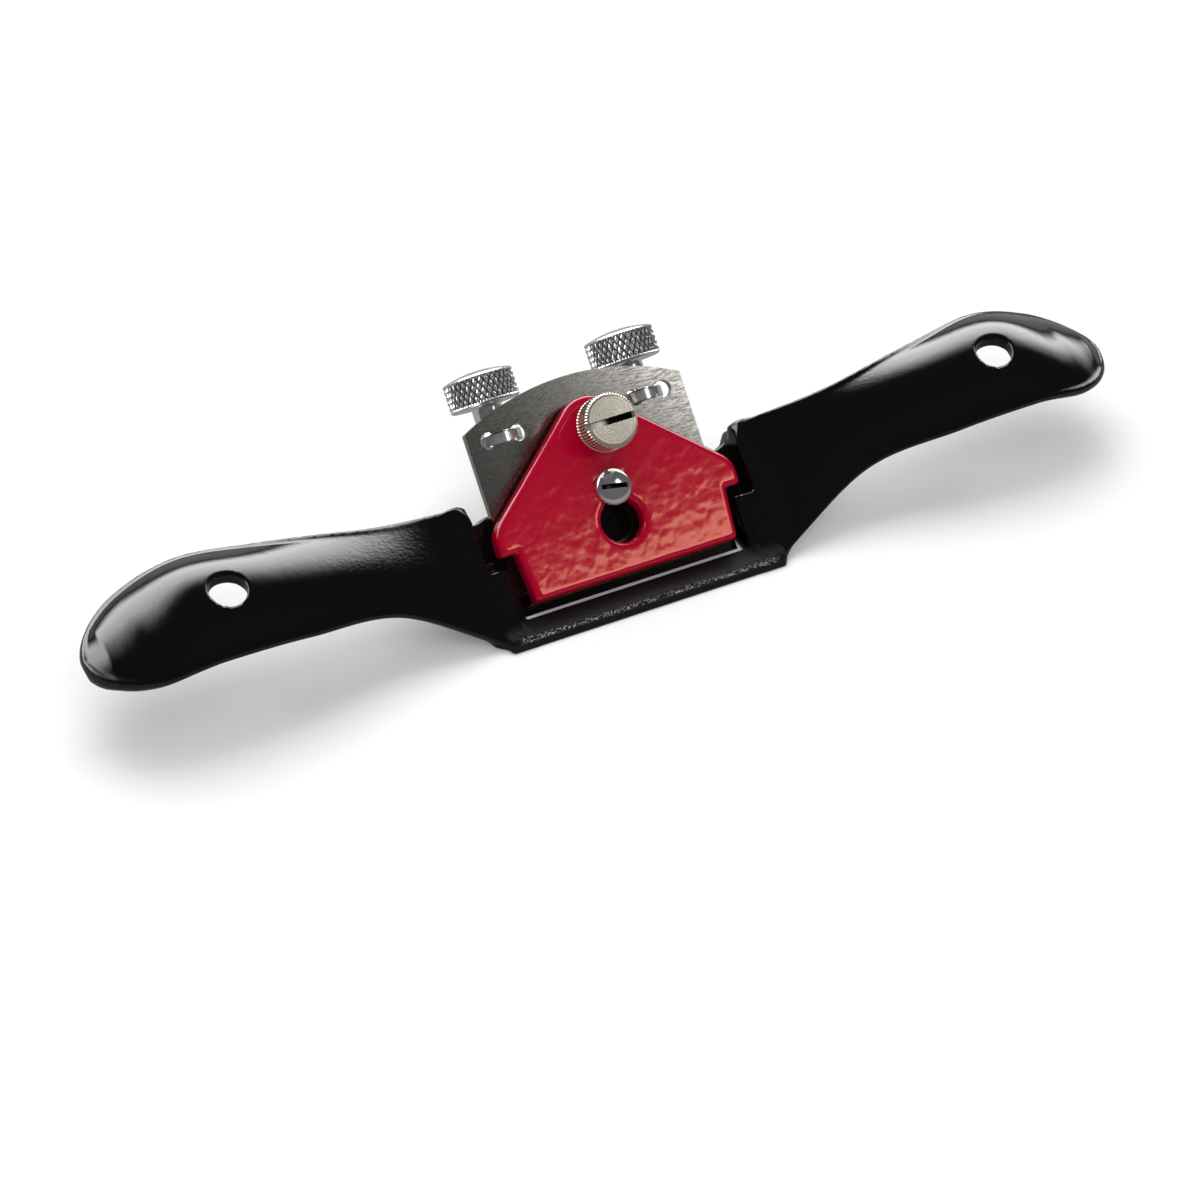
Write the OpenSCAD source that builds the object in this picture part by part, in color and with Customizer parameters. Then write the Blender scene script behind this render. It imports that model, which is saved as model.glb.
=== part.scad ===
// Flat-soled metal spokeshave with two adjusting nuts, in millimetres.
// X runs along the handles, +Y points to the heel, +Z up. The origin is on the sole, at the middle of
// the mouth's front lip. Parts that lie on the sloping bed are drawn in bed coordinates inside on_bed():
// X across, Y up the slope (s) and Z square to the iron's front face (t), with t = 0 on that face.

/* [Casting] */
// Length over both handle tips
overall_length = 253.2; // [250:0.2:256]
// Slope of the bed that carries the iron, in degrees from the sole
bed_angle = 45; // [44:0.5:46]
// Half the width of the sole
sole_half_width = 34.3; // [34:0.1:35]
// Length of the sole in front of the mouth
toe_length = 9.3; // [8:0.1:11]
// Thickness of the sole in front of the mouth
toe_thickness = 2.6; // [2.2:0.1:3]
// Distance from the mouth's front lip to the back edge of the sole
heel_length = 13; // [12:0.5:15]
// Thickness of the plate behind the iron
bed_thickness = 4.6; // [4:0.1:5.5]
// Height of the bed plate, measured up the slope
bed_height = 24.4; // [24:0.1:25]
// Height of the cheeks, measured up the slope
cheek_height = 26.8; // [26:0.1:28]
// How far the cheeks stand in front of the iron's front face
cheek_depth = 4.8; // [4:0.1:5]
// Thickness of the handles
handle_thickness = 3.2; // [3:0.1:4]

/* [Hanging holes] */
// Distance from the middle of the tool to each hanging hole
hang_hole_x = 94.5; // [92:0.5:97]
// Radius of the hanging holes
hang_hole_r = 4.3; // [4:0.1:5]

/* [Iron] */
// Width of the cutting iron
iron_width = 54; // [53:0.5:54]
// Thickness of the cutting iron
iron_thickness = 2; // [1.8:0.1:2.2]
// Length of the iron's straight sides, from the cutting edge
iron_side = 42.7; // [42:0.1:43]
// Radius of the iron's arched top
iron_top_r = 60; // [55:1:70]
// Gap between the cutting edge and the mouth's front lip
mouth_gap = 0.8; // [0.6:0.1:1.2]
// How far the cutting edge rests above the sole, along the slope
edge_retract = 0.2; // [0.1:0.1:0.5]
// Bevel angle of the cutting edge
bevel_angle = 30; // [25:1:35]

/* [Adjusters] */
// Distance from the middle of the tool to each adjuster
adjuster_x = 17.8; // [17.5:0.1:18.2]
// Radius of the threaded stud
stud_r = 2.5; // [2.5:0.05:2.55]
// Radial clearance between the stud and the nut
thread_clearance = 0.05; // [0.02:0.01:0.08]
// Radius of the knurled head
nut_head_r = 8.2; // [7.5:0.1:8.5]
// Height of the knurled rim
nut_head_height = 6.8; // [5:0.1:7]
// Radius of the nut's collar, which drives the iron
collar_r = 5.8; // [5.6:0.05:5.9]
// Thickness of the nut's collar
collar_height = 2.8; // [2.6:0.1:2.9]

/* [Lever cap] */
// Half width of the cap across its ears
ear_half_width = 30; // [29.5:0.1:30.5]
// Half width of the cap below its ears
cap_half_width = 26.2; // [25.8:0.1:26.5]
// Height of the cap's front face above the iron
cap_front = 7.3; // [7:0.1:7.6]
// Wall of the cap
cap_wall = 4.2; // [4:0.1:4.5]
// Radius of the cap's tip
cap_tip_r = 7.8; // [7.5:0.1:8]
// Distance up the slope from the cutting edge to the cap screw
cap_screw_s = 21.8; // [21.5:0.1:22]
// Travel of the cap that frees it from its screw
cap_travel = 7.7; // [7.5:0.1:8]

/* [Screws] */
// Radius of the cap screw's head
cap_screw_head_r = 4.2; // [4:0.1:4.4]
// Radius of the cap screw's shank
cap_screw_r = 2; // [1.9:0.1:2.1]
// Radius of the thumb screw's head
thumb_head_r = 6.3; // [6:0.1:6.5]
// Height of the thumb screw's head
thumb_head_height = 6.2; // [5.5:0.1:6.5]

/* [Hidden] */
$fn = 64;
slip = 0.05;                                   // gap that a sliding face keeps
lower_well = 27.9;                             // half width of the well at the iron's lower end
upper_well = 33.2;                             // half width of the well beside the cap's ears
ledge_s = 11.6;                                // where the well widens, up the slope
mouth_lip_y = -2.4;                            // the mouth's front wall leans forward to here
heel_thickness = 3;
cheek_half_width = 36.8;
bed_t = -iron_thickness - slip;                // the bed's face
back_t = bed_t - bed_thickness;                // the back of the bed plate
adjuster_t = -6.3;                             // axis of the studs and nuts
boss_r = 4.6;
stud_bottom_s = 13.5;
stud_top_s = 50;
slot_s = 40.1;                                 // middle of the collar and of the slot it runs in
slot_inner_x = 12.6;
slot_outer_x = 23.9;
slot_end_r = 2;
nut_head_s = 48.5;                             // underside of the knurled head
nut_neck_r = 3.5;
nut_dome = 1.2;
nut_bore_top = 53;
cap_back = cap_front - cap_wall;
cap_bottom_s = 2.4;
cap_lip_s = 5.2;
thumb_s = 35.4;
thumb_neck_top = 13.6;
thumb_shank_r = 2.4;
key_hole_r = 5;
key_slot_r = 2.5;
iron_slot_r = 4.4;
iron_slot_low_s = 14.4;
iron_slot_high_s = 22.4;
screw_slot = 1.1;

// The handle is an arched plate. It is drawn through stations at even steps of u, from the cheek (u = 0)
// to the tip (u = 1). Each row is the middle of the chord (y, z), its slope towards the front in degrees,
// the chord's width and how far the arch rises above it.
handle_root_x = sole_half_width;
handle_tip_x = overall_length / 2;
handle_stations = [
    [5.4, 11.6, 39.5, 32.4, 0],
    [6.6, 20.7, 27.3, 22.4, 2.9],
    [6.4, 24.6, 14.2, 26.8, 5.7],
    [7.6, 25.4, 7.4, 31.4, 7.4],
    [7.9, 22.3, 4.4, 29.1, 5.1],
    [8.4, 19.4, 4.0, 16.6, 3.7],
    [8.6, 18.9, 5.0, 0.4, 4.0]
];
handle_steps = 30;                             // rings along the handle
arch_steps = 10;                               // points across it

// Places children in bed coordinates.
module on_bed() { translate([0, mouth_gap, 0]) rotate([bed_angle, 0, 0]) children(); }
// A point of the side view from its bed coordinates.
function bed_point(s, t) = [
    mouth_gap + s * cos(bed_angle) - t * sin(bed_angle),
    s * sin(bed_angle) + t * cos(bed_angle)
];
// Draws a side view (y, z) and carries it across from -half to +half.
module across(half, points)
    rotate([90, 0, 90]) translate([0, 0, -half]) linear_extrude(2 * half) polygon(points);

// Smooth curve through the rows of a table: t counts rows, and slopes come from the rows' neighbours.
function row(table, i) =
    i < 0 ? 2 * table[0] - table[1]
    : i >= len(table) ? 2 * table[len(table) - 1] - table[len(table) - 2] : table[i];
function smooth(table, t) =
    let (
        i = min(floor(t), len(table) - 2), f = t - i,
        a = row(table, i - 1), b = row(table, i), c = row(table, i + 1), d = row(table, i + 2)
    )
    0.5 * (2 * b + (c - a) * f + (2 * a - 5 * b + 4 * c - d) * f * f + (3 * b - a - 3 * c + d) * f * f * f);

// One ring of the handle: the arched outer face from rear to front, then the inner face back again.
function arch_point(q, x, v, depth) =
    let (
        half = q[3] / 2, rise = q[4] * pow(min(1, q[3] / 20), 1.5),
        slope = -2 * rise * v / max(half, 0.01), size = sqrt(1 + slope * slope),
        along = half * v + depth * slope / size,
        above = rise * (1 - v * v) - depth / size,
        y = q[0] - cos(q[2]) * along - sin(q[2]) * above,
        z = q[1] - sin(q[2]) * along + cos(q[2]) * above
    ) [x, y, z];
function handle_ring(u) =
    let (
        q = smooth(handle_stations, u * (len(handle_stations) - 1)),
        x = handle_root_x + (handle_tip_x - handle_root_x) * sin(90 * u),
        depth = handle_thickness * min(1, q[3] / 8)
    )
    [
        for (i = [0:arch_steps]) arch_point(q, x, 2 * i / arch_steps - 1, 0),
        for (i = [arch_steps:-1:0]) arch_point(q, x, 2 * i / arch_steps - 1, depth)
    ];

// Closes a stack of rings with equal point counts into one solid.
module loft(rings) {
    n = len(rings[0]);
    m = len(rings);
    polyhedron(
        points = [for (ring = rings) for (p = ring) p],
        faces = concat(
            [[for (j = [0:n - 1]) j]],
            [for (i = [0:m - 2]) for (j = [0:n - 1]) let (k = (j + 1) % n)
                each [[i * n + j, (i + 1) * n + k, i * n + k], [i * n + j, (i + 1) * n + j, (i + 1) * n + k]]],
            [[for (j = [n - 1:-1:0]) (m - 1) * n + j]]
        )
    );
}

// The right-hand handle. Its first ring is repeated inside the cheek, so that the two bodies join.
module handle() {
    root = handle_ring(0);
    inside = [for (p = root) [p[0] - 3, p[1], p[2]]];
    difference() {
        loft(concat([inside], [for (i = [0:handle_steps]) handle_ring(i / handle_steps)]));
        translate([hang_hole_x, 4.5, 15]) cylinder(h = 30, r = hang_hole_r);
        translate([0, -50, -20]) cube([100, 100, 20]);
    }
}

module casting_centre() {
    toe = [[-toe_length, 0], [0, 0], [mouth_lip_y, toe_thickness], [-toe_length, toe_thickness]];
    bed_foot = [mouth_gap - bed_t / sin(bed_angle), 0];
    back_foot_s = (heel_thickness - back_t * cos(bed_angle)) / sin(bed_angle);
    bed = [
        bed_foot, [heel_length, 0], [heel_length, heel_thickness], bed_point(back_foot_s, back_t),
        bed_point(bed_height - 1, back_t), bed_point(bed_height, bed_t)
    ];
    front_foot_s = (toe_thickness - cheek_depth * cos(bed_angle)) / sin(bed_angle);
    cheek = [
        [-toe_length, 0], [heel_length, 0], [heel_length, heel_thickness], bed_point(back_foot_s, back_t),
        bed_point(cheek_height - 2.5, back_t), bed_point(cheek_height, -1), bed_point(cheek_height, cheek_depth),
        bed_point(front_foot_s, cheek_depth), [-toe_length, toe_thickness]
    ];
    across(sole_half_width, toe);
    difference() {
        union() {
            across(sole_half_width, bed);
            for (side = [-1, 1]) on_bed() translate([side * adjuster_x, stud_bottom_s - 2, adjuster_t])
                rotate([-90, 0, 0]) cylinder(h = bed_height - stud_bottom_s + 2, r = boss_r);
        }
        on_bed() translate([-50, -20, bed_t]) cube([100, 80, 30]);
        on_bed() translate([0, cap_screw_s, back_t - 1]) cylinder(h = 10, r = cap_screw_r);
        for (side = [-1, 1]) on_bed() translate([side * adjuster_x, stud_bottom_s, adjuster_t])
            rotate([-90, 0, 0]) cylinder(h = 30, r = stud_r);
    }
    for (side = [-1, 1]) difference() {
        intersection() {
            across(cheek_half_width, cheek);
            translate([side > 0 ? lower_well : -50, -50, 0]) cube([50 - lower_well, 100, 50]);
        }
        on_bed() translate([-upper_well, ledge_s, bed_t]) cube([2 * upper_well, 40, 30]);
        translate([side * 50, 0, -1]) cube([2 * (50 - sole_half_width), 100, 8], center = true);
    }
}

module body_casting() {
    color("#141416") union() {
        casting_centre();
        handle();
        mirror([1, 0, 0]) handle();
    }
}

module cutting_iron() {
    top = iron_side + edge_retract;
    apex = top + iron_top_r - sqrt(iron_top_r * iron_top_r - iron_width * iron_width / 4);
    color("#8a8a86") on_bed() difference() {
        translate([0, 0, -iron_thickness]) linear_extrude(iron_thickness) intersection() {
            translate([-iron_width / 2, edge_retract]) square([iron_width, apex]);
            translate([0, apex - iron_top_r]) circle(r = iron_top_r, $fn = 200);
        }
        // the ground bevel, on the face that lies on the bed
        translate([0, edge_retract, 0]) rotate([-bevel_angle, 0, 0])
            translate([-50, -10, -10]) cube([100, 20, 10]);
        // a dog-bone slot for each nut's collar
        for (side = [-1, 1]) {
            for (x = [slot_inner_x + slot_end_r, slot_outer_x - slot_end_r])
                translate([side * x, slot_s, -5]) cylinder(h = 10, r = slot_end_r);
            translate([side * (slot_inner_x + slot_outer_x) / 2, slot_s, 0])
                cube([slot_outer_x - slot_inner_x - 2 * slot_end_r, collar_height + 2 * slip, 10], center = true);
        }
        // the long hole that the cap screw passes through
        for (s = [iron_slot_low_s, iron_slot_high_s]) translate([0, s, -5]) cylinder(h = 10, r = iron_slot_r);
        translate([-iron_slot_r, iron_slot_low_s, -5])
            cube([2 * iron_slot_r, iron_slot_high_s - iron_slot_low_s, 10]);
    }
}

// Outline of the cap: lower edge, stepped ears, straight flanks and a round tip.
module cap_outline() {
    flank_angle = 41;
    intersection() {
        union() {
            polygon([
                [-cap_half_width + 1, cap_bottom_s], [cap_half_width - 1, cap_bottom_s],
                [cap_half_width, 14.1], [ear_half_width, 14.1], [ear_half_width, 19.6],
                [cap_tip_r * sin(flank_angle), thumb_s + cap_tip_r * cos(flank_angle)],
                [-cap_tip_r * sin(flank_angle), thumb_s + cap_tip_r * cos(flank_angle)],
                [-ear_half_width, 19.6], [-ear_half_width, 14.1], [-cap_half_width, 14.1]
            ]);
            translate([0, thumb_s]) circle(r = cap_tip_r);
        }
        translate([-ear_half_width, 0]) square([2 * ear_half_width, 60]);
    }
}

module lever_cap() {
    color("#a3081c") on_bed() difference() {
        union() {
            translate([0, 0, cap_back]) linear_extrude(cap_wall) cap_outline();
            // the pressing lip along the lower edge
            translate([-cap_half_width + 1.5, cap_bottom_s, 2 * slip])
                cube([2 * cap_half_width - 3, cap_lip_s - cap_bottom_s, cap_back]);
        }
        translate([0, cap_screw_s - cap_travel, -1]) cylinder(h = 20, r = key_hole_r);
        translate([0, cap_screw_s, -1]) cylinder(h = 20, r = key_slot_r);
        translate([-key_slot_r, cap_screw_s - cap_travel, -1]) cube([2 * key_slot_r, cap_travel, 20]);
        translate([0, thumb_s, -1]) cylinder(h = 20, r = thumb_shank_r + thread_clearance);
    }
}

module lever_cap_screw() {
    head_rise = 2.5;
    color("#b9bbbd") on_bed() translate([0, cap_screw_s, 0]) difference() {
        union() {
            translate([0, 0, back_t]) cylinder(h = cap_front + 1 - back_t, r = cap_screw_r);
            translate([0, 0, cap_front + slip]) intersection() {
                cylinder(h = head_rise, r = cap_screw_head_r);
                translate([0, 0, head_rise - 6.5]) sphere(r = 6.5);
            }
        }
        rotate([0, 0, -10]) translate([0, 0, cap_front + head_rise]) cube([12, screw_slot, 2.4], center = true);
    }
}

module thumb_screw() {
    slot_width = 1.5;
    color("#c2b89a") on_bed() translate([0, thumb_s, 0]) difference() {
        union() {
            translate([0, 0, 2 * slip]) cylinder(h = thumb_neck_top, r = thumb_shank_r);
            translate([0, 0, thumb_neck_top]) cylinder(h = thumb_head_height, r = thumb_head_r);
        }
        translate([0, 0, thumb_neck_top + thumb_head_height]) cube([20, slot_width, 4], center = true);
    }
}

// A nut with its collar, neck and knurled head, bored from below to run on its stud.
module adjusting_nut(side) {
    color("#c9cccf") on_bed() translate([side * adjuster_x, 0, adjuster_t]) rotate([-90, 0, 0]) difference() {
        union() {
            translate([0, 0, slot_s - collar_height / 2]) cylinder(h = collar_height, r = collar_r);
            translate([0, 0, slot_s]) cylinder(h = nut_head_s - slot_s + 1, r = nut_neck_r);
            translate([0, 0, nut_head_s]) cylinder(h = nut_head_height, r = nut_head_r);
            translate([0, 0, nut_head_s + nut_head_height]) cylinder(h = nut_dome / 2, r = nut_head_r - 1.5);
        }
        cylinder(h = nut_bore_top, r = stud_r + thread_clearance);
    }
}
module adjusting_nut_left() { adjusting_nut(-1); }
module adjusting_nut_right() { adjusting_nut(1); }

// A threaded stud, screwed into the boss behind the bed.
module adjuster_stud(side) {
    color("#b0b3b6") on_bed() translate([side * adjuster_x, stud_bottom_s, adjuster_t])
        rotate([-90, 0, 0]) cylinder(h = stud_top_s - stud_bottom_s, r = stud_r);
}
module adjuster_stud_left() { adjuster_stud(-1); }
module adjuster_stud_right() { adjuster_stud(1); }

body_casting();
cutting_iron();
lever_cap();
lever_cap_screw();
thumb_screw();
adjusting_nut_left();
adjusting_nut_right();
adjuster_stud_left();
adjuster_stud_right();
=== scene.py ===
"""A metal spokeshave: black enamelled casting, red lever cap, ground iron and bright adjusting nuts.

Lengths in the sections are millimetres, and MM turns them into the frame's metres. X runs along the
handles, +Y to the heel and +Z up. Bed coordinates are x across, s up the bed and t out of the iron.
"""
import math

import bmesh
import bpy
import numpy as np
from mathutils import Matrix, Vector


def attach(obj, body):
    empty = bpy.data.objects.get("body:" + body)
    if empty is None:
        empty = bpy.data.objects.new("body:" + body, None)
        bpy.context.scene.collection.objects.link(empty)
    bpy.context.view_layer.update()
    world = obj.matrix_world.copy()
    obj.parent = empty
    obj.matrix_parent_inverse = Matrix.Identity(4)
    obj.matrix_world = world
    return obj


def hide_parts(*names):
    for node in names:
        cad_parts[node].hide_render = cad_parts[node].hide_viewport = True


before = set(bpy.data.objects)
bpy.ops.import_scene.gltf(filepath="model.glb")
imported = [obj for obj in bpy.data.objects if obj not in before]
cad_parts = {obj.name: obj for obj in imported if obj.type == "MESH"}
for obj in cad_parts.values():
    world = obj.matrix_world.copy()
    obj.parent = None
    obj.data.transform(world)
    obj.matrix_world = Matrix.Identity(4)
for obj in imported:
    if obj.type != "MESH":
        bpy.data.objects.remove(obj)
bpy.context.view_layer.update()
MM = 0.001

# ---------------------------------------------------------------------------------------------------
# The camera looks down at the toe from the left, through a long lens that hardly spreads the handles.
VIEW_SIDE = -27.1
VIEW_HEIGHT = 41.3
VIEW_ROLL = 0.66
LENS = 104.6
CAMERA_PLACE = Vector((-276.6, -523.8, 515.9)) * MM


def look(side, height, roll):
    """Turn of a camera that looks from a heading and height in degrees: its axes are right, up, back."""
    a, e, r = (math.radians(v) for v in (side, height, roll))
    back = Vector((math.sin(a) * math.cos(e), -math.cos(a) * math.cos(e), math.sin(e)))
    right = Vector((math.cos(a), math.sin(a), 0))
    up = back.cross(right)
    turned = right * math.cos(r) + up * math.sin(r)
    return Matrix((turned, back.cross(turned), back)).transposed()


camera_data = bpy.data.cameras.new("camera")
camera_data.lens = LENS
camera_data.clip_start = 0.01
camera_data.clip_end = 20
camera = bpy.data.objects.new("camera", camera_data)
camera.matrix_world = Matrix.Translation(CAMERA_PLACE) @ look(VIEW_SIDE, VIEW_HEIGHT, VIEW_ROLL).to_4x4()
bpy.context.scene.collection.objects.link(camera)
bpy.context.scene.camera = camera
bpy.context.scene.view_settings.view_transform = "Standard"

# ---------------------------------------------------------------------------------------------------
# The floor is a pale sheet. One wide softbox hangs over the back of the tool and one over its front.
# A small card lights only the cap and another only the bright metal, as flags on a stand would keep it.
# The room is dark to a mirror, but for a bright band along its back that the enamel picks up.
FLOOR_HALF = 3000
FLOOR_COLOUR = (0.9, 0.9, 0.895, 1)
FLOOR_MIRRORED = (0.22, 0.22, 0.225, 1)
ROOM_PALE = (0.97, 0.97, 0.97, 1)
ROOM_FILL = 0.72
BAND_GLOW = 8.0
FRONT_GLOW = 0.05
BENCH_GAP = 0.02


def softbox(name, place, size, power, aim=(0, 0, 12), roll=0.0):
    """A rectangular lamp at a place in millimetres, turned to face the aim and rolled by degrees."""
    data = bpy.data.lights.new(name, "AREA")
    data.shape = "RECTANGLE"
    data.size, data.size_y = size[0] * MM, size[1] * MM
    data.energy = power
    lamp = bpy.data.objects.new(name, data)
    lamp.location = Vector(place) * MM
    facing = (Vector(aim) - Vector(place)).to_track_quat("-Z", "Y").to_matrix()
    lamp.rotation_euler = (facing @ Matrix.Rotation(math.radians(roll), 3, "Z")).to_euler()
    bpy.context.scene.collection.objects.link(lamp)
    return lamp


overhead = softbox("overhead_softbox", (0, 260, 720), (620, 520), 3.0)
front = softbox("front_softbox", (-120, -520, 700), (500, 400), 1.3)
low_card = softbox("low_front_card", (173.5, -281.5, 238), (200, 100), 0.5, (0, 14, 16), -11)
side_card = softbox("right_front_card", (208, -196, 306), (80, 120), 0.085, (0, 14, 16))
low_card.data.color = (1, 0.56, 0.36)
overhead.visible_glossy = False
front.visible_glossy = False
low_card.visible_diffuse = False
side_card.visible_diffuse = False
lit_by_low = bpy.data.collections.new("cap_lit_low")
lit_by_side = bpy.data.collections.new("metal_lit_right")
low_card.light_linking.receiver_collection = lit_by_low
side_card.light_linking.receiver_collection = lit_by_side

corners = [(-1, -1), (1, -1), (1, 1), (-1, 1)]
floor_mesh = bpy.data.meshes.new("floor")
floor_mesh.from_pydata([(x * FLOOR_HALF * MM, y * FLOOR_HALF * MM, -BENCH_GAP * MM) for x, y in corners],
                       [], [(0, 1, 2, 3)])
floor = bpy.data.objects.new("floor", floor_mesh)
bpy.context.scene.collection.objects.link(floor)
paper = bpy.data.materials.new("pale_paper")
paper.use_nodes = True
# Painted reflection: to glossy rays the paper shows a dim grey instead of white, so the floor mirrors dark.
sheet = paper.node_tree.nodes.new("ShaderNodeMix")
sheet.data_type = "RGBA"
sheet.inputs[6].default_value = FLOOR_COLOUR
sheet.inputs[7].default_value = FLOOR_MIRRORED
seen = paper.node_tree.nodes.new("ShaderNodeLightPath")
paper.node_tree.links.new(seen.outputs["Is Glossy Ray"], sheet.inputs[0])
paper.node_tree.links.new(sheet.outputs[2], paper.node_tree.nodes["Principled BSDF"].inputs["Base Color"])
paper.node_tree.nodes["Principled BSDF"].inputs["Roughness"].default_value = 0.85
floor_mesh.materials.append(paper)

world = bpy.data.worlds.new("room")
bpy.context.scene.world = world
world.use_nodes = True
room = world.node_tree
room.nodes.clear()
room_out = room.nodes.new("ShaderNodeOutputWorld")
ray = room.nodes.new("ShaderNodeLightPath")
toward = room.nodes.new("ShaderNodeTexCoord")
split = room.nodes.new("ShaderNodeSeparateXYZ")
steps = []
for near, far, start, end in ((0.1, 0.5, 0.0, BAND_GLOW), (0.5, 0.86, 1.0, 0.0), (0.04, 0.24, 0.0, 1.0),
                              (-0.6, 0.0, FRONT_GLOW, 0.02)):
    step = room.nodes.new("ShaderNodeMapRange")
    step.interpolation_type = "SMOOTHSTEP"
    step.inputs["From Min"].default_value = near
    step.inputs["From Max"].default_value = far
    step.inputs["To Min"].default_value = start
    step.inputs["To Max"].default_value = end
    steps.append(step)
height_band = room.nodes.new("ShaderNodeMath")
height_band.operation = "MULTIPLY"
band = room.nodes.new("ShaderNodeMath")
band.operation = "MULTIPLY_ADD"
mirrored = room.nodes.new("ShaderNodeBackground")
plain = room.nodes.new("ShaderNodeBackground")
plain.inputs["Color"].default_value = ROOM_PALE
plain.inputs["Strength"].default_value = ROOM_FILL
choose = room.nodes.new("ShaderNodeMixShader")
room.links.new(toward.outputs["Generated"], split.inputs[0])
for step, axis in zip(steps, "YZZY"):
    room.links.new(split.outputs[axis], step.inputs["Value"])
room.links.new(steps[1].outputs["Result"], height_band.inputs[0])
room.links.new(steps[2].outputs["Result"], height_band.inputs[1])
room.links.new(steps[0].outputs["Result"], band.inputs[0])
room.links.new(height_band.outputs[0], band.inputs[1])
room.links.new(steps[3].outputs["Result"], band.inputs[2])
room.links.new(band.outputs[0], mirrored.inputs["Strength"])
room.links.new(ray.outputs["Is Glossy Ray"], choose.inputs["Fac"])
room.links.new(plain.outputs[0], choose.inputs[1])
room.links.new(mirrored.outputs[0], choose.inputs[2])
room.links.new(choose.outputs[0], room_out.inputs["Surface"])

# ---------------------------------------------------------------------------------------------------
# The body is one iron casting: a flat sole with a mouth, a sloping bed between two cheeks, and two
# arched leaf-shaped handles with a raised rim. It is stoved in gloss black enamel.
BED_START = 0.8                 # where the iron's front face meets the sole, in y
BED_SLOPE = math.radians(45)
SOLE_HALF = 34.3
TOE, HEEL = -9.3, 13.0
TOE_THICK, HEEL_THICK = 2.6, 3.0
BED_FACE, BED_BACK = -2.1, -6.6   # in t, so the iron lies just clear of the bed
CHEEK_FRONT, CHEEK_TOP, CHEEK_HALF = 4.8, 26.8, 36.4
BED_TOP, DIP_X, DIP_HALF, DIP_DEPTH = 24.4, 30.4, 2.3, 1.1   # a shallow dip parts bed and cheek
LOWER_WELL, UPPER_WELL, LEDGE = 27.9, 33.2, 11.6
MOUTH_LEAN = 0.92               # the mouth's front wall leans forward as it rises
BOSS_X, BOSS_T, BOSS_R, BOSS_FOOT = 17.8, -6.3, 4.6, 11.6
HANDLE_THICK = 3.2
HANDLE_TIP = 126.6
HOLE_X, HOLE_Y, HOLE_R = 94.5, 4.5, 4.2
NECK_GRIT, TOE_GRIT = 2.6, 9.0     # how strongly the sand-cast grain shows through the enamel
# Stations along a handle, at even steps from cheek to tip: chord middle (y, z), slope in degrees,
# chord width and rise of the arch.
HANDLE_STATIONS = np.array([
    (5.4, 11.6, 39.5, 32.4, 0.0), (6.6, 20.7, 27.3, 22.4, 2.9), (6.4, 24.6, 14.2, 26.8, 5.7),
    (7.6, 25.4, 7.4, 31.4, 7.4), (7.9, 22.3, 4.4, 29.1, 5.1), (8.4, 19.4, 4.0, 16.6, 3.7),
    (8.6, 18.9, 5.0, 0.2, 4.0)])


def lower(a, b, blend):
    """The lesser of two distances, eased over a width so that two bodies meet in a fillet."""
    share = np.clip(0.5 + 0.5 * (b - a) / blend, 0, 1)
    return b + (a - b) * share - blend * share * (1 - share)


def higher(a, b, blend):
    """The greater of two distances, eased so that two faces meet in a rounded edge."""
    return -lower(-a, -b, blend)


def ramp(value, start, end):
    """Smooth step from 0 at start to 1 at end."""
    f = np.clip((value - start) / (end - start), 0, 1)
    return f * f * (3 - 2 * f)


def to_bed(y, z):
    """Side view (y, z) as distances up the bed and out of the iron's front face."""
    c, s = math.cos(BED_SLOPE), math.sin(BED_SLOPE)
    return (y - BED_START) * c + z * s, z * c - (y - BED_START) * s


def from_bed(points):
    """Bed coordinates (x, s, t), as rows, turned back into the frame's x, y, z."""
    c, s = math.cos(BED_SLOPE), math.sin(BED_SLOPE)
    return np.stack([points[..., 0], BED_START + points[..., 1] * c - points[..., 2] * s,
                     points[..., 1] * s + points[..., 2] * c], -1)


def through(rows, at):
    """Catmull-Rom curve through rows, at whole-number knots, with straight ends."""
    ends = np.vstack([2 * rows[0] - rows[1], rows, 2 * rows[-1] - rows[-2]])
    i = np.clip(np.floor(at).astype(int), 0, len(rows) - 2)
    f = (at - i)[:, None]
    a, b, c, d = (ends[i + k] for k in range(4))
    bend = (2 * a - 5 * b + 4 * c - d) * f ** 2 + (3 * b - a - 3 * c + d) * f ** 3
    return 0.5 * (2 * b + (c - a) * f + bend)


fine = np.linspace(0, 1, 400)
handle_x = SOLE_HALF + (HANDLE_TIP - SOLE_HALF) * np.sin(fine * math.pi / 2)
handle_rows = through(HANDLE_STATIONS, fine * (len(HANDLE_STATIONS) - 1))
handle_spread = np.gradient(handle_rows[:, 3] / 2, handle_x + fine * 1e-6)


def handle_distance(across, y, z):
    """Distance to the arched plate: above its crowned face, below its back, or past its outline.
    The face is chord + rise * (1 - v * v), v the place across the chord, and a rim swells its edge."""
    yc, zc, tilt, width, rise = (np.interp(across, handle_x, column) for column in handle_rows.T)
    spread = np.interp(across, handle_x, handle_spread)
    tilt, half = np.radians(tilt), np.maximum(width / 2, 0.05)
    rise = rise * np.minimum(1, width / 20) ** 1.5
    along = -(y - yc) * np.cos(tilt) - (z - zc) * np.sin(tilt)
    above = -(y - yc) * np.sin(tilt) + (z - zc) * np.cos(tilt)
    v = np.clip(along / half, -1.3, 1.3)
    slope = -2 * rise * v / half
    end_slope = -2 * rise / half
    past = (np.abs(along) - half + above * end_slope) / np.sqrt(1 + end_slope ** 2)
    past = past / np.sqrt(1 + np.minimum(spread ** 2, 60))
    rim = 0.5 * np.exp(-((past + 1.0) / 0.75) ** 2) * ramp(across, 44, 66)
    face = (above - rise * (1 - v * v)) / np.sqrt(1 + slope ** 2) - rim
    thick = HANDLE_THICK * np.minimum(1, width / 8)
    plate = higher(face, -(face + rim + thick), 0.7)
    plate = higher(plate, past, 0.9)
    return higher(higher(plate, across - HANDLE_TIP, 0.4), SOLE_HALF - 4 - across, 0.5)


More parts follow.
